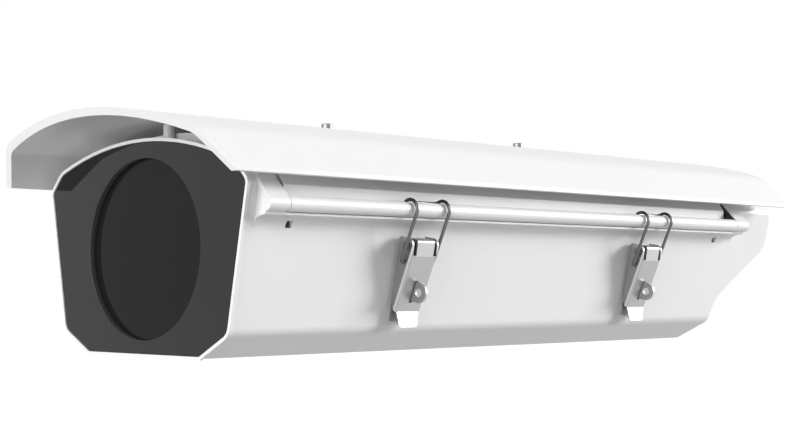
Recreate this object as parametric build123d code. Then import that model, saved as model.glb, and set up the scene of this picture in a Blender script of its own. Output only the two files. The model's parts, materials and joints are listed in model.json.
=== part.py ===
from build123d import *
import os
from math import acos, atan2, cos, hypot, radians, sin, sqrt, tan

# The housing looks along -Y, the latch side is +X, and the floor of the body is at Z = 0.
# Distances along the body are counted backwards from the front rim, in millimetres.

# Body casting
FRONT_Y = -235.0
BODY_LENGTH = 509.6
FLOOR_HALF_WIDTH = 48.5
CHAMFER_HALF_WIDTH = 72.5
CHAMFER_HEIGHT = 13.0
SHOULDER_HALF_WIDTH = 88.2
SHOULDER_HEIGHT = 93.5
SHOULDER_RUN = 10.7
SHOULDER_RISE = 11.8
CROWN_HEIGHT = 119.4
CROWN_RADIUS = 213.7
CROWN_BLEND = 14.0
WALL = 3.5
END_WALL = 4.0
WALL_SETBACK = 0.6
RIM_WIDTH = 1.8
RIM_DEPTH = 1.8
RIM_FLARE_LOW = 1.7
RIM_FLARE_HIGH = 1.0
RIM_FLARE_TOP = 0.4
BULKHEAD_THICKNESS = 5.6
RIB_THICKNESS = 4.0
RIB_HEIGHT = 6.0

# Slanted rear end
FLOOR_LENGTH = 444.2
SLOPE_START = 453.1
SLOPE_START_HEIGHT = 29.4
SLOPE_END_HEIGHT = 67.1
REAR_LEAN_HEIGHT = 86.0
REAR_LEAN = 9.0

# Parting line, rail and end blocks
PARTING_HEIGHT = 77.0
FLANGE_HALF_WIDTH = 93.5
FLANGE_INNER_HALF_WIDTH = 75.0
FLANGE_THICKNESS = 3.5
FLANGE_EDGE = 1.2
FLARE_HALF_WIDTH = 84.5
FLARE_HEIGHT = 74.6
FLARE_RADIUS = 7.0
SEAM_FRONT = 21.4
SEAM_REAR = 448.0
SEAM_GAP = 0.5
LID_LIFT = 0.3
RAIL_RADIUS = 4.2
RAIL_HALF_WIDTH = 94.2
BLOCK_FRONT = 8.6
BLOCK_LEAN = 1.6
BLOCK_INNER_HALF_WIDTH = 81.0
BLOCK_TOP_HALF_WIDTH = 84.0
BLOCK_TOP_HEIGHT = 98.1

# Lid
LID_HALF_WIDTH = 88.2
GROOVE_RISE = 5.9
LID_STEP_RISE = 8.7
LID_SHOULDER_HALF_WIDTH = 84.8
LID_SHOULDER_RISE = 5.3
LID_LEAN = 0.54
LID_CROWN_RISE = 26.8
LID_CROWN_RADIUS = 200.0
LID_THICKNESS = 3.2
LID_SIDE = 7.4
NOTCH_LENGTH = 3.0
NOTCH_DEPTH = 5.2

# Sunshield
SHIELD_GAP = 5.0
SHIELD_CROWN_RADIUS = 258.0
SHIELD_THICKNESS = 4.0
SHIELD_HALF_WIDTH = 103.0
SHIELD_FOOT_HALF_WIDTH = 99.86
SHIELD_DROP = 33.0
SHIELD_LEAN = 0.862
SHIELD_BLEND = 12.0
SHIELD_FRONT = -19.4
SHIELD_RAKE = 0.56
SHIELD_REAR = 504.5
SHIELD_REAR_CORNER = 4.5
SHIELD_REAR_SHOULDER = 16.0
SHIELD_REAR_LEAN = 9.0

# Shield fixings on the centreline
BOLT_FRONT = 138.6
BOLT_REAR = 321.6
BOLT_RADIUS = 2.0
BOLT_HEAD_RADIUS = 3.5
BOLT_HEAD_HEIGHT = 4.2
BOLT_LENGTH = 16.0
BOLT_SOCKET_RADIUS = 1.7
WASHER_RADIUS = 4.5
WASHER_THICKNESS = 0.9
SPACER_RADIUS = 6.0
PAD_HEIGHT = 0.3
POST_FROM_SEAM = 3.5
POST_RADIUS = 3.1
POST_GAP = 0.3

# Window
WINDOW_HEIGHT = 59.1
WINDOW_RADIUS = 50.0
PLATE_SETBACK = 0.6
PLATE_THICKNESS = 2.8
PLATE_CLEARANCE = 0.15
GLASS_RADIUS = 54.2
GLASS_CLEARANCE = 0.3
GASKET_THICKNESS = 1.0
GASKET_SETBACK = 0.4
RETAINER_THICKNESS = 2.5
RETAINER_SCREW_CIRCLE = 60.6
RETAINER_SCREW_ANGLE = 32.0
RETAINER_SCREW_LENGTH = 6.0
RETAINER_LUG_RADIUS = 4.2

# Small screws
SMALL_SCREW_RADIUS = 1.5
SMALL_HEAD_RADIUS = 2.8
SMALL_HEAD_HEIGHT = 1.8
SMALL_SCREW_LENGTH = 8.0
HOLE_SPARE = 0.5
FIT = 0.03
HOLE_CLEARANCE = 0.15

# Lid gasket
SEAL_HALF_WIDTH = 78.4
SEAL_WIDTH = 3.0
SEAL_SUNK = 1.6
SEAL_END_SETBACK = 1.0
SEAL_CHEEK_SETBACK = 0.5

# Hinge on the far side
HINGE_HALF_WIDTH = 98.0
HINGE_HEIGHT = 73.0
KNUCKLE_RADIUS = 3.8
HINGE_PIN_RADIUS = 1.5
HINGE_RUN = 0.05
LID_KNUCKLE = 22.0
BODY_KNUCKLE = 12.0
KNUCKLE_GAP = 0.4
HINGE_FROM_SEAM = 97.5
PIN_HEAD = 1.2

# Latches
LATCH_FRONT = 126.8
LATCH_REAR = 348.4
LATCH_HEIGHT = 42.0
SHEET = 1.2
LEVER_WIDTH = 21.6
LEVER_BEND = 2.0
BASE_WIDTH = 18.0
BASE_BOTTOM = -23.5
BASE_TOP = 24.9
PIVOT_OUT = 7.8
PIVOT_UP = 21.5
PIVOT_RADIUS = 1.5
PIVOT_HEAD_RADIUS = 2.4
PIVOT_HEAD = 0.5
PIVOT_PLAY = 0.3
RUNNING = 0.05
EAR_RADIUS = 3.4
LEVER_TOP = 26.0
LEVER_TOP_OUT = 12.1
LEVER_TOP_BACK = 2.0
LEVER_BOTTOM = -17.0
LEVER_FOOT_RISE = 4.7
LEVER_FOOT_DEPTH = 3.6
LEVER_FACE_OUT = 9.1
LEVER_FACE_SLOPE = 0.22
FACE_TOP = 16.5
TONGUE_WIDTH = 13.8
TONGUE_TOP = 25.6
TONGUE_BEND = 1.8
LIP_LENGTH = 8.6
LIP_FLARE = 2.4
LIP_WIDTH = 17.9
LIP_TIP_WIDTH = 14.6
LIP_CORNER = 2.5
BAIL_END_OUT = 7.6
BAIL_END_UP = 12.0
WIRE_RADIUS = 1.0
BAIL_WIDTH = 26.5
BAIL_BEND = 2.0
BAIL_CLEARANCE = 0.5
BAIL_WRAP = 115.0
EYE_UP = -4.7
EYE_OUT = 12.3
EYE_RADIUS = 2.4
EYE_RIM = 5.9
EYE_THICKNESS = 1.5
EYE_SLOT_MARGIN = 0.5
LATCH_SCREW_UPS = (8.0, -17.0)
LATCH_SCREW_RADIUS = 2.0
LATCH_HEAD_RADIUS = 3.4
LATCH_HEAD_HEIGHT = 1.8

# Slots in the side wall and the plugs in them
SLOT_FROM_FRONT_SEAM = 11.2
SLOT_FROM_REAR_SEAM = 9.4
SLOT_LENGTH = 4.4
SLOT_HEIGHT = 3.7
SLOT_MIDDLE = 71.3
PLUG_SETBACK = 1.5
PLUG_INNER_HALF_WIDTH = 76.0

# Camera mounting plate inside
SLED_HEIGHT = 21.0
SLED_WIDTH = 84.0
SLED_START = 40.0
SLED_END = 420.0
SLED_THICKNESS = 2.0
SLED_EDGE = 8.0
SLED_SCREW_INSET = 14.0
SLED_SLOT_WIDTH = 6.6
SLED_SLOT_LENGTH = 60.0
SLED_SLOT_SPACING = 110.0
PILLAR_RADIUS = 5.0

# Bracket holes under the body
BRACKET_SPACING_X = 50.0
BRACKET_SPACING_Y = 70.0
BRACKET_HOLE_RADIUS = 2.5
BRACKET_HOLE_DEPTH = 9.0
BRACKET_PAD_HEIGHT = 12.0
BRACKET_PAD_MARGIN = 9.0

# Cable glands on the rear slope
GLAND_SPACING = 36.0
GLAND_THREAD_RADIUS = 8.0
GLAND_HEX_RADIUS = 11.0
GLAND_FLANGE = 5.0
GLAND_NECK_RADIUS = 8.6
GLAND_NECK = 9.0
GLAND_CAP_RADIUS = 10.4
GLAND_CAP_LENGTH = 11.0
GLAND_SEAL_RADIUS = 6.2
CABLE_RADIUS = 3.0
GLAND_NUT_THICKNESS = 4.0
GLAND_SEAL_LENGTH = 14.0

# Places that follow from the sizes
MIDDLE = (SEAM_FRONT + SEAM_REAR) / 2
POST_PLACE = SEAM_FRONT - POST_FROM_SEAM
RING_END = SEAM_FRONT - SEAM_GAP / 2
LID_START = SEAM_FRONT + SEAM_GAP / 2
TAIL_START = SEAM_REAR + SEAM_GAP / 2
LID_END = SEAM_REAR - SEAM_GAP / 2
LID_BOTTOM = PARTING_HEIGHT + LID_LIFT
RAIL_HEIGHT = LID_BOTTOM + RAIL_RADIUS
GROOVE_HEIGHT = LID_BOTTOM + GROOVE_RISE
LID_STEP_HEIGHT = GROOVE_HEIGHT + LID_STEP_RISE
LID_SHOULDER_HEIGHT = LID_STEP_HEIGHT + LID_SHOULDER_RISE
LID_CROWN_HEIGHT = LID_SHOULDER_HEIGHT + LID_CROWN_RISE
SHIELD_CROWN_HEIGHT = LID_CROWN_HEIGHT + SHIELD_GAP
SHIELD_BOTTOM = SHIELD_CROWN_HEIGHT - SHIELD_DROP
SHIELD_TOP = SHIELD_CROWN_HEIGHT + SHIELD_THICKNESS
PLATE_BACK = PLATE_SETBACK + PLATE_THICKNESS
BULKHEAD_BACK = PLATE_BACK + BULKHEAD_THICKNESS
GLASS_FRONT = PLATE_BACK + GASKET_THICKNESS
RETAINER_BACK = BULKHEAD_BACK + RETAINER_THICKNESS
WALL_LEAN = (SHOULDER_HALF_WIDTH - CHAMFER_HALF_WIDTH) / (SHOULDER_HEIGHT - CHAMFER_HEIGHT)
FAR = 4 * SHIELD_HALF_WIDTH


def wall_x(z):
    """Half width of the body's outer side wall at height z."""
    step = WALL_SETBACK * hypot(1, WALL_LEAN)
    return CHAMFER_HALF_WIDTH + WALL_LEAN * (z - CHAMFER_HEIGHT) - step


def outline(corners):
    """Closed face through (across, up, radius) corners, each rounded by its radius."""
    spots = []
    for i, (across, up, radius) in enumerate(corners):
        here = Vector(across, up)
        back = (Vector(*corners[i - 1][:2]) - here).normalized()
        ahead = (Vector(*corners[(i + 1) % len(corners)][:2]) - here).normalized()
        half = radians(back.get_angle(ahead)) / 2
        reach = radius / tan(half) if radius else 0
        middle = (back + ahead).normalized() * (radius / sin(half) - radius) if radius else Vector()
        spots.append((here + back * reach, here + middle, here + ahead * reach))
    edges = []
    for i, (start, middle, end) in enumerate(spots):
        if (end - start).length > 1e-6:
            edges.append(ThreePointArc(start, middle, end))
        following = spots[(i + 1) % len(spots)][0]
        if (following - end).length > 1e-6:
            edges.append(Line(end, following))
    return make_face(edges)


def both_sides(corners):
    """The right-hand corners, bottom to top, followed by their mirror image."""
    return corners + [(-across, up, radius) for across, up, radius in reversed(corners)]


def crowned(corners, height, radius, blend):
    """A symmetric outline whose top is cut by a crown arc and blended into it."""
    centre = height - radius
    face = outline(both_sides(corners)) & (Pos(0, centre) * Circle(radius))
    on_arc = [v for v in face.vertices() if abs(hypot(v.X, v.Y - centre) - radius) < 1e-3]
    return fillet(on_arc, blend)


def prism(face, start, end):
    """A cross-section carried along the body between two distances from the front rim."""
    return extrude(Plane.XZ.offset(-FRONT_Y - start) * face, amount=end - start, dir=(0, 1, 0))


def box(x0, x1, y0, y1, z0, z1):
    """A block between two distances from the front rim."""
    return Pos((x0 + x1) / 2, FRONT_Y + (y0 + y1) / 2, (z0 + z1) / 2) * Box(x1 - x0, y1 - y0, z1 - z0)


def side_view(face, half_width):
    """A side profile carried across the body."""
    return extrude(Plane.YZ * (Pos(FRONT_Y, 0) * face), amount=half_width, both=True)


def along_y(x, z, radius, start, end):
    """A round bar along the body."""
    return prism(Pos(x, z) * Circle(radius), start, end)


def upright(x, y, radius, z0, z1):
    """A round bar standing up."""
    return Pos(x, FRONT_Y + y, (z0 + z1) / 2) * Cylinder(radius, z1 - z0)


def front_to_rear(shape):
    """The same shape at the other end of the lid opening."""
    return mirror(shape, about=Plane.XZ.offset(-FRONT_Y - MIDDLE))


def left_to_right(shape):
    return mirror(shape, about=Plane.YZ)


# Cross-sections of the body
def body_outline(low=0.0, high=0.0, top=0.0):
    """Floor, chamfers, leaning sides and a crowned top, with flares at three heights."""
    peak = CROWN_HEIGHT + 20
    reach = SHOULDER_RUN / SHOULDER_RISE * (peak - SHOULDER_HEIGHT)
    return crowned([
        (FLOOR_HALF_WIDTH + low, 0, 3),
        (CHAMFER_HALF_WIDTH + low, CHAMFER_HEIGHT, 9),
        (SHOULDER_HALF_WIDTH + high, SHOULDER_HEIGHT, 6),
        (SHOULDER_HALF_WIDTH + high - reach, peak, 0),
    ], CROWN_HEIGHT + top, CROWN_RADIUS + top, CROWN_BLEND)


def rim_section():
    """Outline of the front rim, which stands out of the walls behind it."""
    return body_outline(RIM_FLARE_LOW, RIM_FLARE_HIGH, RIM_FLARE_TOP)


def tray_section():
    """Outer outline of the walls behind the rim."""
    return offset(body_outline(), -WALL_SETBACK)


def side_profile():
    """Side outline with the slanted, rounded rear end."""
    top = CROWN_HEIGHT
    return outline([
        (-1, 0, 0),
        (FLOOR_LENGTH, 0, 2),
        (SLOPE_START, SLOPE_START_HEIGHT, 27),
        (BODY_LENGTH, SLOPE_END_HEIGHT, 16),
        (BODY_LENGTH, REAR_LEAN_HEIGHT, 24),
        (BODY_LENGTH - REAR_LEAN, top, 10),
        (-1, top, 0),
    ])


def flange_section():
    """Right-hand flange on top of the tray's wall, with a hollow flare below it."""
    low = FLARE_HEIGHT - FLARE_RADIUS
    inner = wall_x(low) - WALL / 2
    return outline([
        (wall_x(low), low, 0),
        (FLARE_HALF_WIDTH, FLARE_HEIGHT, FLARE_RADIUS),
        (FLANGE_HALF_WIDTH, PARTING_HEIGHT - FLANGE_EDGE, 0),
        (FLANGE_HALF_WIDTH, PARTING_HEIGHT, 0),
        (FLANGE_INNER_HALF_WIDTH, PARTING_HEIGHT, 0),
        (FLANGE_INNER_HALF_WIDTH, PARTING_HEIGHT - FLANGE_THICKNESS, 0),
        (inner, low, 0),
    ])


def block_section():
    """End block whose outer edge carries the round of the rail across the seam."""
    top = Vector(BLOCK_TOP_HALF_WIDTH - RAIL_HALF_WIDTH, BLOCK_TOP_HEIGHT - RAIL_HEIGHT)
    turn = atan2(top.Y, top.X) - acos(RAIL_RADIUS / top.length)
    section = outline([
        (BLOCK_INNER_HALF_WIDTH, PARTING_HEIGHT - FLANGE_THICKNESS, 0),
        (FLARE_HALF_WIDTH, FLARE_HEIGHT, 0),
        (FLANGE_HALF_WIDTH, PARTING_HEIGHT - FLANGE_EDGE, 0),
        (RAIL_HALF_WIDTH, LID_BOTTOM, 0),
        (RAIL_HALF_WIDTH, RAIL_HEIGHT, 0),
        (RAIL_HALF_WIDTH + RAIL_RADIUS * cos(turn), RAIL_HEIGHT + RAIL_RADIUS * sin(turn), 0),
        (BLOCK_TOP_HALF_WIDTH, BLOCK_TOP_HEIGHT, 0),
        (BLOCK_INNER_HALF_WIDTH, BLOCK_TOP_HEIGHT, 0),
    ])
    return section + Pos(RAIL_HALF_WIDTH, RAIL_HEIGHT) * Circle(RAIL_RADIUS)


def block_plan():
    """Plan of the end block, whose front face leans forward away from the wall."""
    outer = RAIL_HALF_WIDTH + RAIL_RADIUS + 1
    inner = FLANGE_INNER_HALF_WIDTH
    plan = outline([
        (inner, BLOCK_FRONT, 0),
        (wall_x(PARTING_HEIGHT), BLOCK_FRONT, 1.5),
        (outer, BLOCK_FRONT - BLOCK_LEAN, 1.5),
        (outer, RING_END, 0),
        (inner, RING_END, 0),
    ])
    low = FLARE_HEIGHT - FLARE_RADIUS
    return extrude(Pos(0, FRONT_Y, low) * plan, amount=CROWN_HEIGHT - low, dir=(0, 0, 1))


def end_blocks():
    """The four blocks at the ends of the rails."""
    sections = prism(flange_section(), 0, RING_END) + prism(block_section(), 0, RING_END)
    block = sections & block_plan()
    pair = block + left_to_right(block)
    return pair + front_to_rear(pair)


# Lid
def lid_section():
    """Outer outline of the lid with a round rail and a hook groove along each edge."""
    top = LID_CROWN_HEIGHT + 20
    reach = LID_LEAN * (top - LID_SHOULDER_HEIGHT)
    arch = crowned([
        (RAIL_HALF_WIDTH, LID_BOTTOM, 0),
        (RAIL_HALF_WIDTH, GROOVE_HEIGHT, 0),
        (LID_HALF_WIDTH, GROOVE_HEIGHT, 0.5),
        (LID_HALF_WIDTH, LID_STEP_HEIGHT, 1),
        (LID_SHOULDER_HALF_WIDTH, LID_SHOULDER_HEIGHT, 2),
        (LID_SHOULDER_HALF_WIDTH - reach, top, 0),
    ], LID_CROWN_HEIGHT, LID_CROWN_RADIUS, CROWN_BLEND)
    rails = Locations((RAIL_HALF_WIDTH, RAIL_HEIGHT), (-RAIL_HALF_WIDTH, RAIL_HEIGHT))
    return arch + [spot * Circle(RAIL_RADIUS) for spot in rails]


def lid_hollow():
    """Inner outline of the lid, with a foot that covers the gasket."""
    top = LID_CROWN_HEIGHT + 20
    side = LID_HALF_WIDTH - LID_SIDE
    shoulder = LID_SHOULDER_HALF_WIDTH - LID_SIDE / 2
    reach = LID_LEAN * (top - LID_SHOULDER_HEIGHT)
    foot = SEAL_HALF_WIDTH - SEAL_WIDTH
    return crowned([
        (foot, LID_BOTTOM - 1, 0),
        (foot, LID_BOTTOM + LID_THICKNESS, 0),
        (side, GROOVE_HEIGHT + LID_THICKNESS, 2),
        (side, LID_STEP_HEIGHT, 1),
        (shoulder, LID_SHOULDER_HEIGHT, 2),
        (shoulder - reach, top, 0),
    ], LID_CROWN_HEIGHT - LID_THICKNESS, LID_CROWN_RADIUS - LID_THICKNESS, CROWN_BLEND - LID_THICKNESS)


# Sunshield
def hood(grow):
    """Inner outline of the hood, moved outwards by a thickness and long below."""
    drop = 20
    top = SHIELD_CROWN_HEIGHT + 20
    low = SHIELD_BOTTOM - drop
    face = crowned([
        (SHIELD_FOOT_HALF_WIDTH + SHIELD_LEAN * drop, low, 0),
        (SHIELD_FOOT_HALF_WIDTH - SHIELD_LEAN * (top - SHIELD_BOTTOM), top, 0),
    ], SHIELD_CROWN_HEIGHT, SHIELD_CROWN_RADIUS, SHIELD_BLEND)
    return offset(face, grow, kind=Kind.INTERSECTION) if grow else face


def sunshield():
    """Arched hood with a raked front edge and a slightly rounded rear edge."""
    rise = CROWN_HEIGHT
    lip = outline(both_sides([(SHIELD_HALF_WIDTH, SHIELD_BOTTOM, 0.5), (SHIELD_HALF_WIDTH, 2 * rise, 0)]))
    section = (hood(SHIELD_THICKNESS) & lip) - hood(0)
    reach = SHIELD_FRONT - SHIELD_RAKE * rise
    edge = outline([
        (SHIELD_FRONT, SHIELD_BOTTOM - 1, 0),
        (SHIELD_REAR - SHIELD_REAR_CORNER, SHIELD_BOTTOM - 1, 0),
        (SHIELD_REAR, SHIELD_BOTTOM - 1, SHIELD_REAR_CORNER),
        (SHIELD_REAR, SHIELD_CROWN_HEIGHT - SHIELD_REAR_SHOULDER, 10),
        (SHIELD_REAR - SHIELD_REAR_LEAN, SHIELD_TOP + 1, 0),
        (SHIELD_REAR - SHIELD_REAR_LEAN, SHIELD_BOTTOM + rise, 0),
        (reach, SHIELD_BOTTOM + rise, 0),
    ])
    return prism(section, reach, SHIELD_REAR + 1) & side_view(edge, FAR)


def shield_fixings():
    """Distances of the two fixings from the front rim."""
    return {"front": BOLT_FRONT, "rear": BOLT_REAR}


def drilled_sunshield(hood_solid):
    """The hood with its two screw holes."""
    for place in shield_fixings().values():
        hole = upright(0, place, BOLT_RADIUS + HOLE_CLEARANCE, SHIELD_BOTTOM, 2 * CROWN_HEIGHT)
        hood_solid -= hole
    return hood_solid


def shield_spacer(place, hood_solid):
    """Tube between the lid and the hood, shaped to the hood's underside."""
    bottom = LID_CROWN_HEIGHT + PAD_HEIGHT
    top = SHIELD_CROWN_HEIGHT + SHIELD_THICKNESS / 2
    tube = upright(0, place, SPACER_RADIUS, bottom, top) - hood_solid
    return tube - upright(0, place, BOLT_RADIUS + HOLE_CLEARANCE, bottom - 1, top + 1)


def shield_washer(place):
    bottom = SHIELD_TOP
    ring = upright(0, place, WASHER_RADIUS, bottom, bottom + WASHER_THICKNESS)
    return ring - upright(0, place, BOLT_RADIUS + HOLE_CLEARANCE, bottom - 1, bottom + 2)


def shield_bolt(place):
    """Cap screw with a round socket, down through the hood into the lid."""
    seat = SHIELD_TOP + WASHER_THICKNESS
    head = upright(0, place, BOLT_HEAD_RADIUS, seat, seat + BOLT_HEAD_HEIGHT)
    head = chamfer(head.edges().filter_by(GeomType.CIRCLE).sort_by(Axis.Z)[-1], 0.4)
    depth = BOLT_HEAD_HEIGHT / 2
    head -= upright(0, place, BOLT_SOCKET_RADIUS, seat + depth, seat + BOLT_HEAD_HEIGHT + 1)
    return head + upright(0, place, BOLT_RADIUS, seat - BOLT_LENGTH, seat)


def bolt_boss(place):
    """Boss under the lid that takes the screw, with a flat pad on top."""
    bottom = bolt_hole_bottom() - 2
    boss = upright(0, place, SPACER_RADIUS, bottom, LID_CROWN_HEIGHT - LID_THICKNESS / 2)
    return boss + upright(0, place, SPACER_RADIUS + 1, LID_CROWN_HEIGHT - 1, LID_CROWN_HEIGHT + PAD_HEIGHT)


def bolt_hole_bottom():
    seat = SHIELD_TOP + WASHER_THICKNESS
    return seat - BOLT_LENGTH - HOLE_SPARE


def seal_rib():
    """Inward rib along the arch at one end of the opening."""
    inner = offset(tray_section(), -WALL)
    return inner - offset(inner, -RIB_HEIGHT)


def above(height, start, end):
    """Everything above a height between two distances from the front rim."""
    return box(-FAR, FAR, start, end, height, height + FAR)


def wall_notch():
    """Notches that end the lid's side walls short of the end blocks."""
    inner, outer = LID_HALF_WIDTH - NOTCH_DEPTH, LID_HALF_WIDTH + 1
    notch = box(inner, outer, RING_END, LID_START + NOTCH_LENGTH, GROOVE_HEIGHT, LID_SHOULDER_HEIGHT)
    return notch + left_to_right(notch)


def lid():
    """Lid casting: arch, rails, end ribs, screw bosses and hinge knuckles."""
    shell = prism(lid_section(), LID_START, LID_END) - prism(lid_hollow(), LID_START - 1, LID_END + 1)
    rib = lid_section() & (lid_hollow() - offset(tray_section(), -WALL - RIB_HEIGHT))
    rib = prism(rib, LID_START, LID_START + RIB_THICKNESS)
    rib &= above(LID_BOTTOM, 0, BODY_LENGTH)
    shell += rib + front_to_rear(rib)
    notch = wall_notch()
    shell -= notch + front_to_rear(notch)
    for place in shield_fixings().values():
        shell += bolt_boss(place)
        shell -= upright(0, place, BOLT_RADIUS + FIT, bolt_hole_bottom(), LID_CROWN_HEIGHT + 1)
    for place in hinge_places():
        shell += lid_knuckle(place)
    return shell


# Hinge on the -X side
def hinge_places():
    """Middles of the two hinges, in from the seams."""
    return [SEAM_FRONT + HINGE_FROM_SEAM, SEAM_REAR - HINGE_FROM_SEAM]


def knuckle(place, length, hanger):
    """A hinge barrel with its hanger, bored for the pin."""
    start, end = place - length / 2, place + length / 2
    barrel = along_y(-HINGE_HALF_WIDTH, HINGE_HEIGHT, KNUCKLE_RADIUS, start, end) + prism(hanger, start, end)
    return barrel - along_y(-HINGE_HALF_WIDTH, HINGE_HEIGHT, HINGE_PIN_RADIUS + HINGE_RUN, start - 1, end + 1)


def lid_knuckle(place):
    """Barrel that hangs from the lid's rail."""
    outer = HINGE_HALF_WIDTH + KNUCKLE_RADIUS
    hanger = outline([
        (-outer, HINGE_HEIGHT, 0),
        (-FLANGE_HALF_WIDTH - KNUCKLE_GAP, HINGE_HEIGHT, 0),
        (-FLANGE_HALF_WIDTH - KNUCKLE_GAP, RAIL_HEIGHT, 0),
        (-outer, RAIL_HEIGHT - RAIL_RADIUS / 2, 1),
    ])
    return knuckle(place, LID_KNUCKLE, hanger)


def body_knuckles(place):
    """The two barrels on the body either side of the lid's."""
    hanger = outline([
        (-HINGE_HALF_WIDTH, HINGE_HEIGHT - KNUCKLE_RADIUS, 0),
        (-HINGE_HALF_WIDTH, HINGE_HEIGHT + KNUCKLE_RADIUS / 2, 0),
        (-FLARE_HALF_WIDTH, FLARE_HEIGHT, 0),
        (-wall_x(HINGE_HEIGHT - 2 * KNUCKLE_RADIUS) + WALL / 2, HINGE_HEIGHT - 2 * KNUCKLE_RADIUS, 0),
    ])
    shift = (LID_KNUCKLE + BODY_KNUCKLE) / 2 + KNUCKLE_GAP
    return knuckle(place - shift, BODY_KNUCKLE, hanger) + knuckle(place + shift, BODY_KNUCKLE, hanger)


def hinge_pin(place):
    """Pin with a head at each end."""
    half = LID_KNUCKLE / 2 + KNUCKLE_GAP + BODY_KNUCKLE
    pin = along_y(-HINGE_HALF_WIDTH, HINGE_HEIGHT, HINGE_PIN_RADIUS, place - half, place + half)
    for start in (place - half - PIN_HEAD, place + half):
        pin += along_y(-HINGE_HALF_WIDTH, HINGE_HEIGHT, HINGE_PIN_RADIUS + 1, start, start + PIN_HEAD)
    return pin


# Window
def plate_section():
    return offset(rim_section(), -RIM_WIDTH - PLATE_CLEARANCE)


def window(radius, start, end):
    """A round bar on the window's axis."""
    return along_y(0, WINDOW_HEIGHT, radius, start, end)


def front_plate():
    """Black plate in the rim's recess, with the window opening."""
    return prism(plate_section(), PLATE_SETBACK, PLATE_BACK) - window(WINDOW_RADIUS, -1, BULKHEAD_BACK)


def glass_gasket():
    ring = window(GLASS_RADIUS, PLATE_BACK, GLASS_FRONT)
    return ring - window(WINDOW_RADIUS + GASKET_SETBACK, 0, BULKHEAD_BACK)


def window_glass():
    return window(GLASS_RADIUS, GLASS_FRONT, BULKHEAD_BACK)


def retainer_spots():
    """Positions of the four retainer screws across and up."""
    spots = []
    for side in (0, 180):
        for turn in (RETAINER_SCREW_ANGLE, -RETAINER_SCREW_ANGLE):
            angle = radians(side + turn)
            across = RETAINER_SCREW_CIRCLE * cos(angle)
            spots.append((across, WINDOW_HEIGHT + RETAINER_SCREW_CIRCLE * sin(angle)))
    return spots


def glass_retainer():
    """Ring with four lugs that presses the glass on its gasket."""
    ring = window(GLASS_RADIUS, BULKHEAD_BACK, RETAINER_BACK)
    for x, z in retainer_spots():
        lug = along_y(x, z, RETAINER_LUG_RADIUS, BULKHEAD_BACK, RETAINER_BACK)
        inward = Vector(-x, WINDOW_HEIGHT - z).normalized() * RETAINER_LUG_RADIUS
        lug += along_y(x + inward.X, z + inward.Y, RETAINER_LUG_RADIUS, BULKHEAD_BACK, RETAINER_BACK)
        ring += lug
    for x, z in retainer_spots():
        ring -= along_y(x, z, SMALL_SCREW_RADIUS + HOLE_CLEARANCE, PLATE_BACK, RETAINER_BACK + 1)
    return ring - window(WINDOW_RADIUS, 0, RETAINER_BACK + 1)


def retainer_screw(x, z):
    shank = along_y(x, z, SMALL_SCREW_RADIUS, RETAINER_BACK - RETAINER_SCREW_LENGTH, RETAINER_BACK)
    return shank + along_y(x, z, SMALL_HEAD_RADIUS, RETAINER_BACK, RETAINER_BACK + SMALL_HEAD_HEIGHT)


# Lid gasket
def lid_gasket():
    """Sealing strip: two straight runs on the flanges and an arch at each end."""
    bottom = PARTING_HEIGHT - SEAL_SUNK
    inner, outer = SEAL_HALF_WIDTH - SEAL_WIDTH / 2, SEAL_HALF_WIDTH + SEAL_WIDTH / 2
    run = box(inner, outer, RING_END, TAIL_START, bottom, LID_BOTTOM)
    cavity = offset(tray_section(), -WALL - SEAL_END_SETBACK)
    arch = prism(cavity - offset(cavity, -SEAL_WIDTH), RING_END, LID_START)
    arch &= above(PARTING_HEIGHT, 0, BODY_LENGTH)
    foot = box(-outer, outer, RING_END, LID_START, bottom, LID_BOTTOM)
    foot -= box(-inner, inner, 0, BODY_LENGTH, 0, CROWN_HEIGHT)
    end = arch + foot + block_cheeks()
    return run + left_to_right(run) + end + front_to_rear(end)


def block_cheeks():
    """Thin webs of the gasket over the end faces of two blocks."""
    face = offset(block_section(), -SEAL_CHEEK_SETBACK)
    low = LID_BOTTOM + SEAL_CHEEK_SETBACK
    web = prism(face, RING_END, LID_START) & above(low, 0, BODY_LENGTH)
    web += box(SEAL_HALF_WIDTH, BLOCK_INNER_HALF_WIDTH + 1, RING_END, LID_START, low, LID_STEP_HEIGHT)
    return web + left_to_right(web)


# Latches: out and up are measured from the wall at the latch's middle height
def latch_plane(place):
    """Plane across the latch, with X away from the wall and Y up along it."""
    lean = atan2(WALL_LEAN, 1)
    origin = (wall_x(LATCH_HEIGHT), FRONT_Y + place, LATCH_HEIGHT)
    return Plane(origin=origin, x_dir=(cos(lean), 0, -sin(lean)), z_dir=(0, -1, 0))


def plate_at(place, face, half_width, middle=0.0):
    """A side view of the latch carried across it."""
    plane = latch_plane(place).offset(middle)
    return extrude(plane * face, amount=half_width, both=True)


def latch_rod(place, out, up, radius, half_width):
    return plate_at(place, Pos(out, up) * Circle(radius), half_width)


def lever_face(up):
    """Outer face of the closed lever at a height along the wall."""
    return LEVER_FACE_OUT + LEVER_FACE_SLOPE * up


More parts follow.
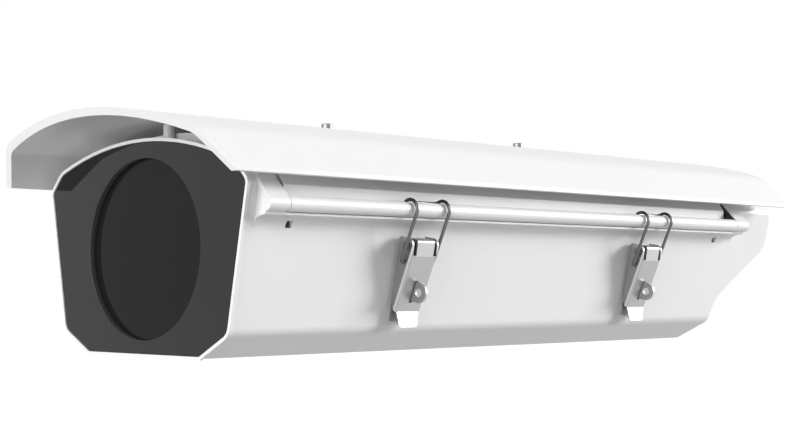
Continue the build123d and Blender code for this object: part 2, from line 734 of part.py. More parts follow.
def latch_base(place):
    """Base plate with two ears for the pivot and an eye for a padlock."""
    half = BASE_WIDTH / 2
    plate = plate_at(place, outline([
        (0, BASE_BOTTOM, 0),
        (SHEET, BASE_BOTTOM, 0),
        (SHEET, BASE_TOP, 0),
        (0, BASE_TOP, 0),
    ]), half)
    ear = outline([
        (0, PIVOT_UP - 3 * EAR_RADIUS, 0),
        (SHEET, PIVOT_UP - 3 * EAR_RADIUS, 0),
        (PIVOT_OUT + EAR_RADIUS, PIVOT_UP - EAR_RADIUS, 3),
        (PIVOT_OUT + EAR_RADIUS, PIVOT_UP + EAR_RADIUS, 3),
        (0, PIVOT_UP + EAR_RADIUS, 0),
    ]) - Pos(PIVOT_OUT, PIVOT_UP) * Circle(PIVOT_RADIUS + RUNNING)
    for side in (-1, 1):
        plate += plate_at(place, ear, SHEET / 2, side * (half - SHEET / 2))
    plate += plate_at(place, padlock_eye(), EYE_THICKNESS / 2)
    for up in LATCH_SCREW_UPS:
        plate -= latch_screw_hole(place, up, HOLE_CLEARANCE)
    return plate


def padlock_eye():
    """Side view of the tab that passes through the lever's slot."""
    low, high = EYE_UP - EYE_RIM, EYE_UP + EYE_RIM
    tab = outline([(0, low, 0), (EYE_OUT, low, 0), (EYE_OUT, high, 0), (0, high, 0)])
    tab += Pos(EYE_OUT, EYE_UP) * Circle(EYE_RIM)
    return tab - Pos(EYE_OUT, EYE_UP) * Circle(EYE_RADIUS)


def latch_screw_hole(place, up, clearance):
    """Hole for a fixing screw through the base plate and the wall."""
    plane = latch_plane(place)
    axis = Plane(origin=plane.from_local_coords((-WALL - 1, up, 0)), z_dir=plane.x_dir)
    return extrude(axis * Circle(LATCH_SCREW_RADIUS + clearance), amount=WALL + SHEET + 2)


def latch_screw(place, up):
    """Pan-head screw that holds the base to the wall."""
    plane = latch_plane(place)
    axis = Plane(origin=plane.from_local_coords((-WALL + 0.5, up, 0)), z_dir=plane.x_dir)
    shank = extrude(axis * Circle(LATCH_SCREW_RADIUS), amount=WALL - 0.5 + SHEET)
    seat = Plane(origin=plane.from_local_coords((SHEET, up, 0)), z_dir=plane.x_dir)
    return shank + extrude(seat * Circle(LATCH_HEAD_RADIUS), amount=LATCH_HEAD_HEIGHT)


def latch_pin(place):
    """Pivot pin with a low head outside each flange of the lever."""
    half = LEVER_WIDTH / 2 + PIVOT_PLAY
    pin = latch_rod(place, PIVOT_OUT, PIVOT_UP, PIVOT_RADIUS, half)
    head = Pos(PIVOT_OUT, PIVOT_UP) * Circle(PIVOT_HEAD_RADIUS)
    for side in (-1, 1):
        pin += plate_at(place, head, PIVOT_HEAD / 2, side * (half + PIVOT_HEAD / 2))
    return pin


def lever_channel(place):
    """Sheet bent round both long edges of the lever's face, open towards the wall."""
    plane = latch_plane(place)
    tilt = atan2(LEVER_FACE_SLOPE, 1)
    along = plane.x_dir * sin(tilt) + plane.y_dir * cos(tilt)
    middle = plane.from_local_coords((LEVER_FACE_OUT, 0, 0))
    square = Plane(origin=middle, x_dir=plane.z_dir, z_dir=along)
    wide, deep, bend = LEVER_WIDTH / 2, -2 * PIVOT_OUT, LEVER_BEND
    outside = outline([(-wide, deep, 0), (wide, deep, 0), (wide, 0, bend), (-wide, 0, bend)])
    wide, bend = wide - SHEET, bend - SHEET
    inside = outline([(-wide, deep - 1, 0), (wide, deep - 1, 0), (wide, -SHEET, bend), (-wide, -SHEET, bend)])
    return extrude(square * (outside - inside), amount=LEVER_TOP - LEVER_BOTTOM, both=True)


def lever_tongue(place):
    """Narrow tongue that stands up from the face and curls over the pivot."""
    face, root = lever_face(FACE_TOP), FACE_TOP - 0.5
    inner = face - SHEET
    curl = outline([
        (face, root, 0),
        (face, TONGUE_TOP, TONGUE_BEND),
        (PIVOT_OUT - PIVOT_RADIUS, TONGUE_TOP, 0),
        (PIVOT_OUT - PIVOT_RADIUS, TONGUE_TOP - SHEET, 0),
        (inner, TONGUE_TOP - SHEET, TONGUE_BEND - SHEET),
        (inner, root, 0),
    ])
    return plate_at(place, curl, TONGUE_WIDTH / 2)


def lever_lip(place):
    """Finger lip below the face, narrower towards its rounded tip."""
    root, start = lever_face(LEVER_BOTTOM), LEVER_BOTTOM + 0.5
    tip = LEVER_BOTTOM - LIP_LENGTH
    side = outline([
        (root - SHEET, start, 0),
        (root - SHEET, LEVER_BOTTOM, 0),
        (root - SHEET + LIP_FLARE, tip, 0),
        (root + LIP_FLARE, tip, 0),
        (root, LEVER_BOTTOM, 0),
        (root, start, 0),
    ])
    plane = latch_plane(place)
    front = Plane(origin=plane.origin, x_dir=-plane.z_dir, z_dir=plane.x_dir)
    view = outline([
        (-LIP_WIDTH / 2, start, 0),
        (-LIP_TIP_WIDTH / 2, tip, LIP_CORNER),
        (LIP_TIP_WIDTH / 2, tip, LIP_CORNER),
        (LIP_WIDTH / 2, start, 0),
    ])
    return plate_at(place, side, LIP_WIDTH) & extrude(front * view, amount=2 * PIVOT_OUT)


def latch_lever(place):
    """Bent lever: two flanges, a slotted face, a tongue over the pivot and a finger lip."""
    foot, far, wide = lever_face(LEVER_BOTTOM), 3 * PIVOT_OUT, LEVER_WIDTH / 2
    sides = outline([
        (LEVER_TOP_BACK, LEVER_TOP, 0),
        (foot - LEVER_FOOT_DEPTH, LEVER_BOTTOM + LEVER_FOOT_RISE, 0.8),
        (foot - SHEET / 2, LEVER_BOTTOM, 0),
        (far, LEVER_BOTTOM, 0),
        (far, FACE_TOP, 0),
        (lever_face(FACE_TOP), FACE_TOP, 0),
        (LEVER_TOP_OUT, LEVER_TOP, 4),
    ])
    lever = lever_channel(place) & plate_at(place, sides, wide)
    top = outline([(-far, FACE_TOP, 0), (far, FACE_TOP, 0), (far, far + FACE_TOP, 0), (-far, far + FACE_TOP, 0)])
    lever -= plate_at(place, top, wide - SHEET - 0.1)
    lever += lever_tongue(place) + lever_lip(place)
    low = EYE_UP - EYE_RIM - 2 * EYE_SLOT_MARGIN
    high = EYE_UP + EYE_RIM + EYE_SLOT_MARGIN
    slot = outline([(SHEET, low, 0), (far, low, 0), (far, high, 0), (SHEET, high, 0)])
    lever -= plate_at(place, slot, EYE_THICKNESS / 2 + EYE_SLOT_MARGIN)
    lever -= latch_rod(place, PIVOT_OUT, PIVOT_UP, PIVOT_RADIUS + RUNNING, wide + 1)
    return lever - latch_rod(place, BAIL_END_OUT, BAIL_END_UP, WIRE_RADIUS + RUNNING, wide + 1)


def latch_bail(place):
    """Wire loop from the lever's flanges up over the rail and down behind it."""
    plane = latch_plane(place)
    hole = plane.from_local_coords((BAIL_END_OUT, BAIL_END_UP, 0))
    middle = FRONT_Y + place
    wrap = RAIL_RADIUS + WIRE_RADIUS + BAIL_CLEARANCE
    dx, dz = RAIL_HALF_WIDTH - hole.X, RAIL_HEIGHT - hole.Z
    distance = hypot(dx, dz)
    climb = atan2(dz, dx) - atan2(wrap, sqrt(distance ** 2 - wrap ** 2))
    start, finish = climb - radians(90), radians(BAIL_WRAP)

    def around(angle, side):
        return Vector(RAIL_HALF_WIDTH + wrap * cos(angle), middle + side, RAIL_HEIGHT + wrap * sin(angle))

    def half_loop(sign):
        far = sign * BAIL_WIDTH / 2
        near = sign * (LEVER_WIDTH / 2 - SHEET - 0.6)
        up = Vector(cos(climb), 0, sin(climb))
        inward = Vector(0, -sign, 0)
        end = Vector(hole.X, middle + near, hole.Z)
        bend = Vector(hole.X, middle + far, hole.Z) + inward * BAIL_BEND
        rise = Vector(hole.X, middle + far, hole.Z) + up * BAIL_BEND
        top, over = around(start, far), around(finish, far)
        fall = Vector(-sin(finish), 0, cos(finish))
        last = over + fall * BAIL_BEND + inward * BAIL_BEND
        return [
            Line(end, bend),
            TangentArc(bend, rise, tangent=-inward),
            Line(rise, top),
            ThreePointArc(top, around((start + finish) / 2, far), over),
            TangentArc(over, last, tangent=fall),
        ], last

    first, one = half_loop(1)
    second, other = half_loop(-1)
    path = Wire(first + [Line(one, other)] + second)
    start_plane = Plane(origin=path @ 0, z_dir=path % 0)
    return sweep(start_plane * Circle(WIRE_RADIUS), path=path)


# Camera mounting plate
def sled():
    """Folded plate with long slots for the camera and four fixing holes."""
    half = SLED_WIDTH / 2
    plate = box(-half, half, SLED_START, SLED_END, SLED_HEIGHT, SLED_HEIGHT + SLED_THICKNESS)
    for side in (-half, half - SLED_THICKNESS):
        plate += box(side, side + SLED_THICKNESS, SLED_START, SLED_END, SLED_HEIGHT, SLED_HEIGHT + SLED_EDGE)
    slot = SlotOverall(SLED_SLOT_LENGTH, SLED_SLOT_WIDTH, rotation=90)
    middle = FRONT_Y + (SLED_START + SLED_END) / 2
    for shift in (-SLED_SLOT_SPACING / 2, SLED_SLOT_SPACING / 2):
        plate -= extrude(Pos(0, middle + shift, SLED_HEIGHT - 1) * slot, amount=SLED_THICKNESS + 2)
    for x, y in sled_spots():
        plate -= upright(x, y, SMALL_SCREW_RADIUS + HOLE_CLEARANCE, SLED_HEIGHT - 1, SLED_HEIGHT + SLED_EDGE)
    return plate


def sled_spots():
    """Positions of the four plate screws: across and behind the rim."""
    half = SLED_WIDTH / 2 - SLED_SCREW_INSET
    ends = (SLED_START + SLED_SCREW_INSET, SLED_END - SLED_SCREW_INSET)
    return [(x, y) for x in (-half, half) for y in ends]


def sled_screw(x, y):
    top = SLED_HEIGHT + SLED_THICKNESS
    shank = upright(x, y, SMALL_SCREW_RADIUS, top - SMALL_SCREW_LENGTH, top)
    return shank + upright(x, y, SMALL_HEAD_RADIUS, top, top + SMALL_HEAD_HEIGHT)


# Cable glands
def slope_plane(across):
    """Plane on the rear slope with its normal pointing out and down."""
    run, rise = BODY_LENGTH - SLOPE_START, SLOPE_END_HEIGHT - SLOPE_START_HEIGHT
    length = hypot(run, rise)
    share = 0.45
    origin = (across, FRONT_Y + SLOPE_START + share * run, SLOPE_START_HEIGHT + share * rise)
    return Plane(origin=origin, x_dir=(1, 0, 0), z_dir=(0, rise / length, -run / length))


def gland_bar(across, radius, start, end):
    """A round bar on a gland's axis; positive is outside the body."""
    return extrude(slope_plane(across).offset(start) * Circle(radius), amount=end - start)


def gland_hex(across, radius, start, end):
    return extrude(slope_plane(across).offset(start) * RegularPolygon(radius, 6), amount=end - start)


def gland_places():
    return {"left": -GLAND_SPACING / 2, "right": GLAND_SPACING / 2}


def gland_body(across):
    """Threaded stem through the wall, hexagon outside and a neck for the cap."""
    stem = gland_bar(across, GLAND_THREAD_RADIUS, -END_WALL - GLAND_NUT_THICKNESS - 1, 0)
    piece = stem + gland_hex(across, GLAND_HEX_RADIUS, 0, GLAND_FLANGE)
    piece += gland_bar(across, GLAND_NECK_RADIUS, GLAND_FLANGE, GLAND_FLANGE + GLAND_NECK)
    piece -= gland_bar(across, GLAND_SEAL_RADIUS, GLAND_FLANGE - 4, GLAND_FLANGE + GLAND_NECK + 1)
    return piece - gland_bar(across, CABLE_RADIUS + 1, -END_WALL - GLAND_NUT_THICKNESS - 2, GLAND_FLANGE)


def gland_seal(across):
    start = GLAND_FLANGE - 4
    tube = gland_bar(across, GLAND_SEAL_RADIUS - 0.1, start, start + GLAND_SEAL_LENGTH)
    return tube - gland_bar(across, CABLE_RADIUS, start - 1, start + GLAND_SEAL_LENGTH + 1)


def gland_cap(across):
    """Hexagonal compression nut with a rounded mouth."""
    start, end = GLAND_FLANGE + 0.5, GLAND_FLANGE + 0.5 + GLAND_CAP_LENGTH
    cap = gland_hex(across, GLAND_CAP_RADIUS, start, end - 3)
    cap += gland_bar(across, GLAND_CAP_RADIUS - 1.4, end - 3, end)
    cap -= gland_bar(across, GLAND_NECK_RADIUS + FIT, start - 1, GLAND_FLANGE + GLAND_NECK + 0.2)
    return cap - gland_bar(across, GLAND_SEAL_RADIUS, start - 1, end + 1)


def gland_nut(across):
    start = -END_WALL - GLAND_NUT_THICKNESS
    nut = gland_hex(across, GLAND_HEX_RADIUS, start, -END_WALL)
    return nut - gland_bar(across, GLAND_THREAD_RADIUS + FIT, start - 1, 0)


# Body casting
def rest_post():
    """Post on the front ring that steadies the hood, with a stem into the ring."""
    seat = CROWN_HEIGHT
    post = upright(0, POST_PLACE, POST_RADIUS, seat, SHIELD_CROWN_HEIGHT - POST_GAP)
    return post + upright(0, POST_PLACE, SMALL_SCREW_RADIUS, seat - WALL, seat)


def slot_places():
    """Middles of the two slots below the ends of the rail."""
    return {"front": SEAM_FRONT + SLOT_FROM_FRONT_SEAM, "rear": SEAM_REAR - SLOT_FROM_REAR_SEAM}


def slot_block(place, inner, outer):
    """A block with the slot's own height and length."""
    low, high = SLOT_MIDDLE - SLOT_HEIGHT / 2, SLOT_MIDDLE + SLOT_HEIGHT / 2
    return box(inner, outer, place - SLOT_LENGTH / 2, place + SLOT_LENGTH / 2, low, high)


def slot_plug(place):
    """Black rubber plug that closes a slot from inside."""
    return slot_block(place, PLUG_INNER_HALF_WIDTH, wall_x(SLOT_MIDDLE) - PLUG_SETBACK)


def bracket_spots():
    """Positions of the bracket holes: across and behind the rim."""
    half_x, half_y = BRACKET_SPACING_X / 2, BRACKET_SPACING_Y / 2
    return [(x, -FRONT_Y + y) for x in (-half_x, half_x) for y in (-half_y, half_y)]


def hollow_body():
    """Outer form less the camera bay, the plate's recess and the window opening."""
    section = tray_section()
    profile = side_profile()
    body = prism(section, 0, BODY_LENGTH + 1) & side_view(profile, FAR)
    body += prism(rim_section(), 0, RIM_DEPTH)
    bay = prism(offset(section, -WALL), BULKHEAD_BACK, BODY_LENGTH)
    body -= bay & side_view(offset(profile, -END_WALL), FAR)
    body -= prism(offset(rim_section(), -RIM_WIDTH), -1, PLATE_BACK)
    return body - window(GLASS_RADIUS + GLASS_CLEARANCE, -1, BULKHEAD_BACK + 1)


def housing_body():
    """One-piece casting: ring, tray, slanted rear end, rail blocks and hinge barrels."""
    body = hollow_body()
    body -= above(PARTING_HEIGHT, RING_END, TAIL_START)
    rib = prism(seal_rib(), RING_END - RIB_THICKNESS, RING_END)
    rib &= above(PARTING_HEIGHT - FLANGE_THICKNESS, 0, BODY_LENGTH)
    flange = prism(flange_section(), RING_END - 1, TAIL_START + 1)
    body += rib + front_to_rear(rib) + flange + left_to_right(flange) + end_blocks()
    inner, outer = SEAL_HALF_WIDTH - SEAL_WIDTH / 2, SEAL_HALF_WIDTH + SEAL_WIDTH / 2
    groove = box(inner, outer, RING_END, TAIL_START, PARTING_HEIGHT - SEAL_SUNK, PARTING_HEIGHT + 1)
    body -= groove + left_to_right(groove)
    for place in slot_places().values():
        body -= slot_block(place, FLANGE_INNER_HALF_WIDTH, FLANGE_HALF_WIDTH)
    for place in hinge_places():
        body += body_knuckles(place)
    for x, z in retainer_spots():
        start = RETAINER_BACK - RETAINER_SCREW_LENGTH - HOLE_SPARE
        body -= along_y(x, z, SMALL_SCREW_RADIUS + FIT, start, RETAINER_BACK)
    body += upright(0, POST_PLACE, POST_RADIUS, CROWN_HEIGHT - WALL, CROWN_HEIGHT)
    body -= upright(0, POST_PLACE, SMALL_SCREW_RADIUS + FIT, CROWN_HEIGHT - WALL - HOLE_SPARE, CROWN_HEIGHT + 1)
    for x, y in sled_spots():
        body += upright(x, y, PILLAR_RADIUS, WALL - 1, SLED_HEIGHT)
        bottom = SLED_HEIGHT + SLED_THICKNESS - SMALL_SCREW_LENGTH - HOLE_SPARE
        body -= upright(x, y, SMALL_SCREW_RADIUS + FIT, bottom, SLED_HEIGHT + 1)
    return body - body_holes() + bracket_pad()


def bracket_pad():
    """Thick pad inside over the bracket holes."""
    half_x = BRACKET_SPACING_X / 2 + BRACKET_PAD_MARGIN
    half_y = BRACKET_SPACING_Y / 2 + BRACKET_PAD_MARGIN
    pad = box(-half_x, half_x, -FRONT_Y - half_y, -FRONT_Y + half_y, 0, BRACKET_PAD_HEIGHT)
    for x, y in bracket_spots():
        pad -= upright(x, y, BRACKET_HOLE_RADIUS, -1, BRACKET_HOLE_DEPTH)
    return pad


def body_holes():
    """Bracket, latch screw and gland holes, cut in one go."""
    holes = [upright(x, y, BRACKET_HOLE_RADIUS, -1, BRACKET_HOLE_DEPTH) for x, y in bracket_spots()]
    for place in (LATCH_FRONT, LATCH_REAR):
        holes += [latch_screw_hole(place, up, FIT) for up in LATCH_SCREW_UPS]
    for across in gland_places().values():
        holes.append(gland_bar(across, GLAND_THREAD_RADIUS + FIT, -END_WALL - 1, 1))
    return holes


# All pieces by name
def pieces():
    hood_solid = sunshield()
    nodes = {
        "housing_body": housing_body(),
        "lid": lid(),
        "sunshield": drilled_sunshield(hood_solid),
        "front_plate": front_plate(),
        "window_glass": window_glass(),
        "glass_gasket": glass_gasket(),
        "glass_retainer": glass_retainer(),
        "lid_gasket": lid_gasket(),
        "rest_post": rest_post(),
        "camera_plate": sled(),
    }
    for end, place in shield_fixings().items():
        nodes["shield_spacer_" + end] = shield_spacer(place, hood_solid)
        nodes["shield_washer_" + end] = shield_washer(place)
        nodes["shield_bolt_" + end] = shield_bolt(place)
    for number, (x, z) in enumerate(retainer_spots(), 1):
        nodes[f"retainer_screw_{number}"] = retainer_screw(x, z)
    for number, (x, y) in enumerate(sled_spots(), 1):
        nodes[f"plate_screw_{number}"] = sled_screw(x, y)
    for end, place in slot_places().items():
        nodes["slot_plug_" + end] = slot_plug(place)
    for end, place in zip(("front", "rear"), hinge_places()):
        nodes["hinge_pin_" + end] = hinge_pin(place)
    for end, place in (("front", LATCH_FRONT), ("rear", LATCH_REAR)):
        nodes[f"latch_{end}_base"] = latch_base(place)
        nodes[f"latch_{end}_pin"] = latch_pin(place)
        nodes[f"latch_{end}_lever"] = latch_lever(place)
        nodes[f"latch_{end}_bail"] = latch_bail(place)
        for name, up in zip(("upper", "lower"), LATCH_SCREW_UPS):
            nodes[f"latch_{end}_screw_{name}"] = latch_screw(place, up)
    for side, across in gland_places().items():
        nodes[f"gland_{side}_body"] = gland_body(across)
        nodes[f"gland_{side}_seal"] = gland_seal(across)
        nodes[f"gland_{side}_cap"] = gland_cap(across)
        nodes[f"gland_{side}_nut"] = gland_nut(across)
    return nodes


os.makedirs("parts", exist_ok=True)
for name, shape in pieces().items():
    solids = shape.solids()
    whole = solids[0] if len(solids) == 1 else Compound(children=list(solids))
    export_step(whole, f"parts/{name}.step")
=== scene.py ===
import json
import math

import bmesh
import bpy
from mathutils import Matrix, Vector

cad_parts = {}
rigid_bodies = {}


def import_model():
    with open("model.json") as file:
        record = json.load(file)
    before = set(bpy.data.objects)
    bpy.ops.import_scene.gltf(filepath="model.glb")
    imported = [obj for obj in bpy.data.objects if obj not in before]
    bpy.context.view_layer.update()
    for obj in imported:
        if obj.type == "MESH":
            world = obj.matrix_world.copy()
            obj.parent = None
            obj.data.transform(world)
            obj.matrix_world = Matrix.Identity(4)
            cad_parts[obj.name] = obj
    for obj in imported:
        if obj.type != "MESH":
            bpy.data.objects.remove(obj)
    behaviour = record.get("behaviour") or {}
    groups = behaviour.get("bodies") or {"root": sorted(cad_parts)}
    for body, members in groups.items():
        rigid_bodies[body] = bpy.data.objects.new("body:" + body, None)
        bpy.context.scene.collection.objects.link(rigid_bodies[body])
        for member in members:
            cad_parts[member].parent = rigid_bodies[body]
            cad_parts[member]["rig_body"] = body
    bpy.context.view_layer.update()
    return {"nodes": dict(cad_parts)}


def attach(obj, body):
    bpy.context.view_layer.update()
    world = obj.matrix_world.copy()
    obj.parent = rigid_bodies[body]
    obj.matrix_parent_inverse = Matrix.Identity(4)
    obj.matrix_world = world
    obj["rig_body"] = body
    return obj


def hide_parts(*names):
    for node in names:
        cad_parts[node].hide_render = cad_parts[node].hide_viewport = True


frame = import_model()
MM = 0.001


# Body casting: one aluminium casting with a flat floor, leaning sides and a slanted rear end.
# It is powder coated white, so its edges are slightly round and its skin has a fine orange peel.
def orange_peel():
    """Shader group: a fine cellular skin, as a height and as a small change of roughness."""
    group = bpy.data.node_groups.new("orange peel", "ShaderNodeTree")
    for name, default in (("Grain", 650.0), ("Softness", 0.4), ("Roughness", 0.3), ("Spread", 0.06)):
        socket = group.interface.new_socket(name, in_out="INPUT", socket_type="NodeSocketFloat")
        socket.default_value = default
    lay = group.interface.new_socket("Lay", in_out="INPUT", socket_type="NodeSocketVector")
    lay.default_value = (1.0, 1.0, 1.0)
    group.interface.new_socket("Height", in_out="OUTPUT", socket_type="NodeSocketFloat")
    group.interface.new_socket("Roughness", in_out="OUTPUT", socket_type="NodeSocketFloat")
    nodes, links = group.nodes, group.links
    given = nodes.new("NodeGroupInput")
    out = nodes.new("NodeGroupOutput")
    place = nodes.new("ShaderNodeTexCoord")
    drawn = nodes.new("ShaderNodeVectorMath")
    drawn.operation = "MULTIPLY"
    skin = nodes.new("ShaderNodeTexNoise")
    skin.inputs["Detail"].default_value = 2.0
    cloud = nodes.new("ShaderNodeTexNoise")
    cloud.inputs["Scale"].default_value = 18.0
    cloud.inputs["Detail"].default_value = 3.0
    spread = nodes.new("ShaderNodeMath")
    spread.operation = "MULTIPLY_ADD"
    links.new(place.outputs["Object"], drawn.inputs[0])
    links.new(given.outputs["Lay"], drawn.inputs[1])
    links.new(drawn.outputs["Vector"], skin.inputs["Vector"])
    links.new(place.outputs["Object"], cloud.inputs["Vector"])
    links.new(given.outputs["Grain"], skin.inputs["Scale"])
    links.new(given.outputs["Softness"], skin.inputs["Roughness"])
    links.new(cloud.outputs["Fac"], spread.inputs[0])
    links.new(given.outputs["Spread"], spread.inputs[1])
    links.new(given.outputs["Roughness"], spread.inputs[2])
    links.new(skin.outputs["Fac"], out.inputs["Height"])
    links.new(spread.outputs["Value"], out.inputs["Roughness"])
    return group


peel = orange_peel()


def finish(name, colour, metallic=0.0):
    """A material with a Principled shader, whose plain values sit on its own sockets."""
    material = bpy.data.materials.new(name)
    material.use_nodes = True
    shader = material.node_tree.nodes["Principled BSDF"]
    shader.inputs["Base Color"].default_value = (*colour, 1.0)
    shader.inputs["Metallic"].default_value = metallic
    return material, shader


def skinned(material, shader, grain, roughness, spread, relief, lay=(1.0, 1.0, 1.0)):
    """Gives a material its skin: grain per metre, roughness range, relief in metres, and its lay.

    A lay below 1 on an axis draws the grain out along that axis, as brushing does."""
    nodes, links = material.node_tree.nodes, material.node_tree.links
    skin = nodes.new("ShaderNodeGroup")
    skin.node_tree = peel
    skin.inputs["Grain"].default_value = grain
    skin.inputs["Roughness"].default_value = roughness
    skin.inputs["Spread"].default_value = spread
    skin.inputs["Lay"].default_value = lay
    bump = nodes.new("ShaderNodeBump")
    bump.inputs["Distance"].default_value = relief
    links.new(skin.outputs["Height"], bump.inputs["Height"])
    links.new(skin.outputs["Roughness"], shader.inputs["Roughness"])
    links.new(bump.outputs["Normal"], shader.inputs["Normal"])


white_paint, paint_shader = finish("white powder coat", (0.83, 0.83, 0.835))
skinned(white_paint, paint_shader, grain=700.0, roughness=0.3, spread=0.08, relief=0.00006)


SEAM = 0.002 * MM
FLAT_ANGLE = math.radians(0.4)
ROUND_STEPS = 3


def rounded(node, material, edge, angle=28):
    """A copy of a solid with its seams merged and its sharp edges broken by a small round.

    Edges sharper than the angle, in degrees, get the round, whose width is the edge."""
    source = frame["nodes"][node]
    mesh = source.data.copy()
    soft = bmesh.new()
    soft.from_mesh(mesh)
    bmesh.ops.remove_doubles(soft, verts=soft.verts, dist=SEAM)
    bmesh.ops.dissolve_limit(soft, angle_limit=FLAT_ANGLE, verts=soft.verts, edges=soft.edges)
    for face in soft.faces:
        face.smooth = True
    soft.to_mesh(mesh)
    soft.free()
    mesh.materials.clear()
    mesh.materials.append(material)
    piece = bpy.data.objects.new(node + "_skin", mesh)
    bpy.context.scene.collection.objects.link(piece)
    bevel = piece.modifiers.new("round", "BEVEL")
    bevel.width = edge
    bevel.segments = ROUND_STEPS
    bevel.limit_method = "ANGLE"
    bevel.angle_limit = math.radians(angle)
    bevel.harden_normals = True
    weighted = piece.modifiers.new("normals", "WEIGHTED_NORMAL")
    weighted.keep_sharp = True
    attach(piece, source["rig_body"])
    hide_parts(node)
    return piece


def painted(node, material):
    """Puts a finish on a solid that keeps its own mesh."""
    for slot in frame["nodes"][node].material_slots:
        slot.material = material


body = rounded("housing_body", white_paint, 0.5 * MM)
post = rounded("rest_post", white_paint, 0.2 * MM)


# Front plate: a flat black panel with a high gloss, set just behind the rim.
# The flat glass is clamped right behind its round opening, on a thin rubber ring. It is drawn opaque and
# near black, which stands for its tint and is partly painted shade, standing in for the dark interior
# behind it.
black_gloss, gloss_shader = finish("black gloss panel", (0.004, 0.004, 0.0042))
gloss_shader.inputs["IOR"].default_value = 1.44
skinned(black_gloss, gloss_shader, grain=60.0, roughness=0.02, spread=0.02, relief=0.000004)
plate = rounded("front_plate", black_gloss, 0.3 * MM)
# The edge colour is a lighter copy of the panel's black: painted light on the plate's sideways faces.
lightened_edge_paint, lightened_edge_shader = finish("panel edge painted lighter", (0.06, 0.06, 0.062))
skinned(lightened_edge_paint, lightened_edge_shader, grain=900.0, roughness=0.5, spread=0.1, relief=0.00003)
plate.data.materials.append(lightened_edge_paint)
# Its cut edges, which are the faces that look neither forwards nor back, are duller than its face and much
# lighter: the lighter colour is painted light, standing in for the light on the plate's edges and in its
# bore.
FACING = 0.5
for face in plate.data.polygons:
    if abs(face.normal.y) < FACING:
        face.material_index = 1

# Opaque near-black glass: partly its tint, partly painted shade of the dark interior behind the window.
glass, glass_shader = finish("window glass", (0.012, 0.012, 0.0125))
glass_shader.inputs["Roughness"].default_value = 0.02
glass_shader.inputs["IOR"].default_value = 1.18
painted("window_glass", glass)

rubber, rubber_shader = finish("seal rubber", (0.035, 0.035, 0.035))
skinned(rubber, rubber_shader, grain=900.0, roughness=0.6, spread=0.15, relief=0.00005)
for seal in ("glass_gasket", "lid_gasket", "gland_left_seal", "gland_right_seal"):
    painted(seal, rubber)
for end in ("front", "rear"):
    painted(f"slot_plug_{end}", rubber)
dark_sheet, dark_shader = finish("black coated sheet", (0.03, 0.03, 0.032))
skinned(dark_sheet, dark_shader, grain=800.0, roughness=0.4, spread=0.1, relief=0.00003)
painted("glass_retainer", dark_sheet)


# Lid: a cast arch with a round rail along each edge, powder coated with the body.
# The latch hooks grip the groove behind the rail, and the far edge carries the hinge barrels.
lid = rounded("lid", white_paint, 0.4 * MM)


# Sunshield: an extruded arched sheet, cut at a rake in front and powder coated white.
# Two screws through tubes hold it a little above the lid, so that air can pass between them.
shield = rounded("sunshield", white_paint, 0.5 * MM)
steel, steel_shader = finish("turned stainless steel", (0.26, 0.26, 0.27), metallic=1.0)
skinned(steel, steel_shader, grain=1500.0, roughness=0.25, spread=0.2, relief=0.00003)
for end in ("front", "rear"):
    for part in ("bolt", "washer"):
        rounded(f"shield_{part}_{end}", steel, 0.15 * MM)
    painted(f"shield_spacer_{end}", white_paint)


# Latches: two wire toggle latches of stainless sheet and wire, screwed to the side wall.
# Each has a base with pivot ears and a padlock eye, a bent lever, and a wire loop over the rail.
sheet, sheet_shader = finish("brushed stainless sheet", (0.38, 0.38, 0.38), metallic=1.0)
BRUSHED_UPWARDS = (1.0, 1.0, 0.03)
skinned(sheet, sheet_shader, grain=1600.0, roughness=0.34, spread=0.12, relief=0.00002, lay=BRUSHED_UPWARDS)
wire, wire_shader = finish("drawn stainless wire", (0.12, 0.12, 0.124), metallic=1.0)
skinned(wire, wire_shader, grain=1500.0, roughness=0.22, spread=0.15, relief=0.00002)
for end in ("front", "rear"):
    rounded(f"latch_{end}_base", sheet, 0.2 * MM)
    rounded(f"latch_{end}_lever", sheet, 0.2 * MM)
    rounded(f"latch_{end}_bail", wire, 0.1 * MM, angle=50)
    for part in ("pin", "screw_upper", "screw_lower"):
        rounded(f"latch_{end}_{part}", steel, 0.2 * MM)


# Small fittings that the photograph hides: hinge pins, window and plate screws, camera plate and glands.
# The pins and screws are stainless steel, the plate is folded steel and the glands are dark nylon.
for node in frame["nodes"]:
    if node.startswith(("hinge_pin", "retainer_screw", "plate_screw")):
        rounded(node, steel, 0.15 * MM)
rounded("camera_plate", sheet, 0.2 * MM)
nylon, nylon_shader = finish("dark grey nylon", (0.05, 0.05, 0.055))
skinned(nylon, nylon_shader, grain=900.0, roughness=0.42, spread=0.1, relief=0.00005)
for side in ("left", "right"):
    for part in ("body", "cap", "nut"):
        rounded(f"gland_{side}_{part}", nylon, 0.3 * MM)


# Stage: a white floor well below the housing, a white sky that lights it faintly, and two large soft lamps.
# The key lamp stands far behind on the latch side, and the front lamp about two metres before the window.
# The camera stands off the front corner on the latch side, level with the housing's lower half.
FLOOR_DROP = 0.30
FLOOR_SIZE = 30.0
FLOOR_SHADE = (0.32, 0.32, 0.32)
FLOOR_GLOW = 0.85
SKY = 0.25
WHITE = (1, 1, 1, 1)
floor_mesh = bpy.data.meshes.new("floor")
half = FLOOR_SIZE / 2
ring = [(-half, -half), (half, -half), (half, half), (-half, half)]
floor_mesh.from_pydata([(x, y, -FLOOR_DROP) for x, y in ring], [], [(0, 1, 2, 3)])
floor = bpy.data.objects.new("floor", floor_mesh)
bpy.context.scene.collection.objects.link(floor)


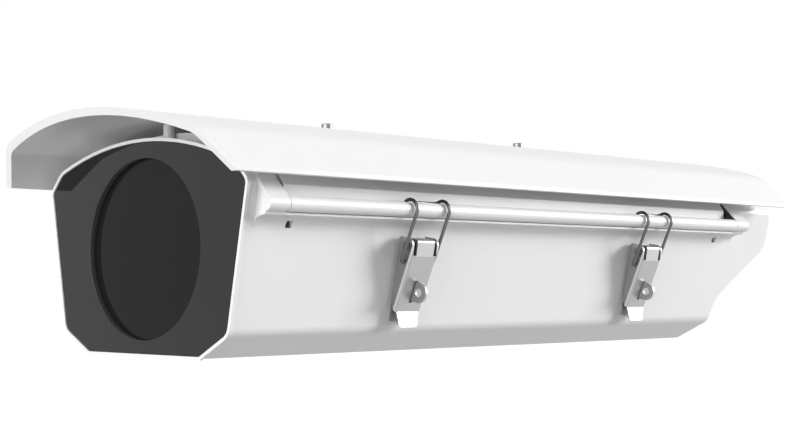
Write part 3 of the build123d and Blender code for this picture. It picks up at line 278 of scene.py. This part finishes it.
def seen(tree, strength):
    """A value that is the strength for the camera, for gloss and through glass, and else zero."""
    path = tree.nodes.new("ShaderNodeLightPath")
    either = tree.nodes.new("ShaderNodeMath")
    either.operation = "MAXIMUM"
    any_ray = tree.nodes.new("ShaderNodeMath")
    any_ray.operation = "MAXIMUM"
    scaled = tree.nodes.new("ShaderNodeMath")
    scaled.operation = "MULTIPLY"
    scaled.inputs[1].default_value = strength
    tree.links.new(path.outputs["Is Camera Ray"], either.inputs[0])
    tree.links.new(path.outputs["Is Glossy Ray"], either.inputs[1])
    tree.links.new(either.outputs[0], any_ray.inputs[0])
    tree.links.new(path.outputs["Is Transmission Ray"], any_ray.inputs[1])
    tree.links.new(any_ray.outputs[0], scaled.inputs[0])
    return scaled.outputs[0]


world = bpy.data.worlds.new("studio")
world.use_nodes = True
bpy.context.scene.world = world
sky = world.node_tree.nodes["Background"]
sky.inputs["Color"].default_value = WHITE
brighten = world.node_tree.nodes.new("ShaderNodeMath")
brighten.operation = "ADD"
brighten.inputs[1].default_value = SKY
world.node_tree.links.new(seen(world.node_tree, 1 - SKY), brighten.inputs[0])
world.node_tree.links.new(brighten.outputs[0], sky.inputs["Strength"])

floor_paint, floor_shader = finish("floor white", FLOOR_SHADE)
floor_shader.inputs["Roughness"].default_value = 0.9
floor_shader.inputs["Emission Color"].default_value = WHITE
floor_tree = floor_paint.node_tree
floor_tree.links.new(seen(floor_tree, FLOOR_GLOW), floor_shader.inputs["Emission Strength"])
floor_mesh.materials.append(floor_paint)


MIDDLE = Vector((0, 0, 0.07))


def softbox(name, place, size, power):
    """A square area lamp at a place, turned towards the middle of the housing."""
    lamp = bpy.data.lights.new(name, "AREA")
    lamp.size = size
    lamp.energy = power
    holder = bpy.data.objects.new(name, lamp)
    holder.location = place
    holder.rotation_mode = "QUATERNION"
    holder.rotation_quaternion = (MIDDLE - Vector(place)).to_track_quat("-Z", "Y")
    bpy.context.scene.collection.objects.link(holder)


softbox("key box", place=(4.4, 7.3, 2.6), size=3.2, power=970.0)
softbox("front box", place=(0.15, -2.1, 0.35), size=2.2, power=56.0)

TARGET = Vector((0.0, -0.032, 0.0784))
CAMERA_TURN = 44.053
CAMERA_LIFT = -2.18
CAMERA_DISTANCE = 0.9885
SENSOR_WIDTH = 36.0
FOCAL_LENGTH = 69.26
turn, lift = math.radians(CAMERA_TURN), math.radians(CAMERA_LIFT)
back = Vector((math.sin(turn) * math.cos(lift), -math.cos(turn) * math.cos(lift), math.sin(lift)))
lens = bpy.data.cameras.new("camera")
lens.sensor_width = SENSOR_WIDTH
lens.lens = FOCAL_LENGTH
camera = bpy.data.objects.new("camera", lens)
camera.location = TARGET + back * CAMERA_DISTANCE
camera.rotation_mode = "QUATERNION"
camera.rotation_quaternion = (-back).to_track_quat("-Z", "Y")
bpy.context.scene.collection.objects.link(camera)
bpy.context.scene.camera = camera
bpy.context.scene.view_settings.view_transform = "Standard"
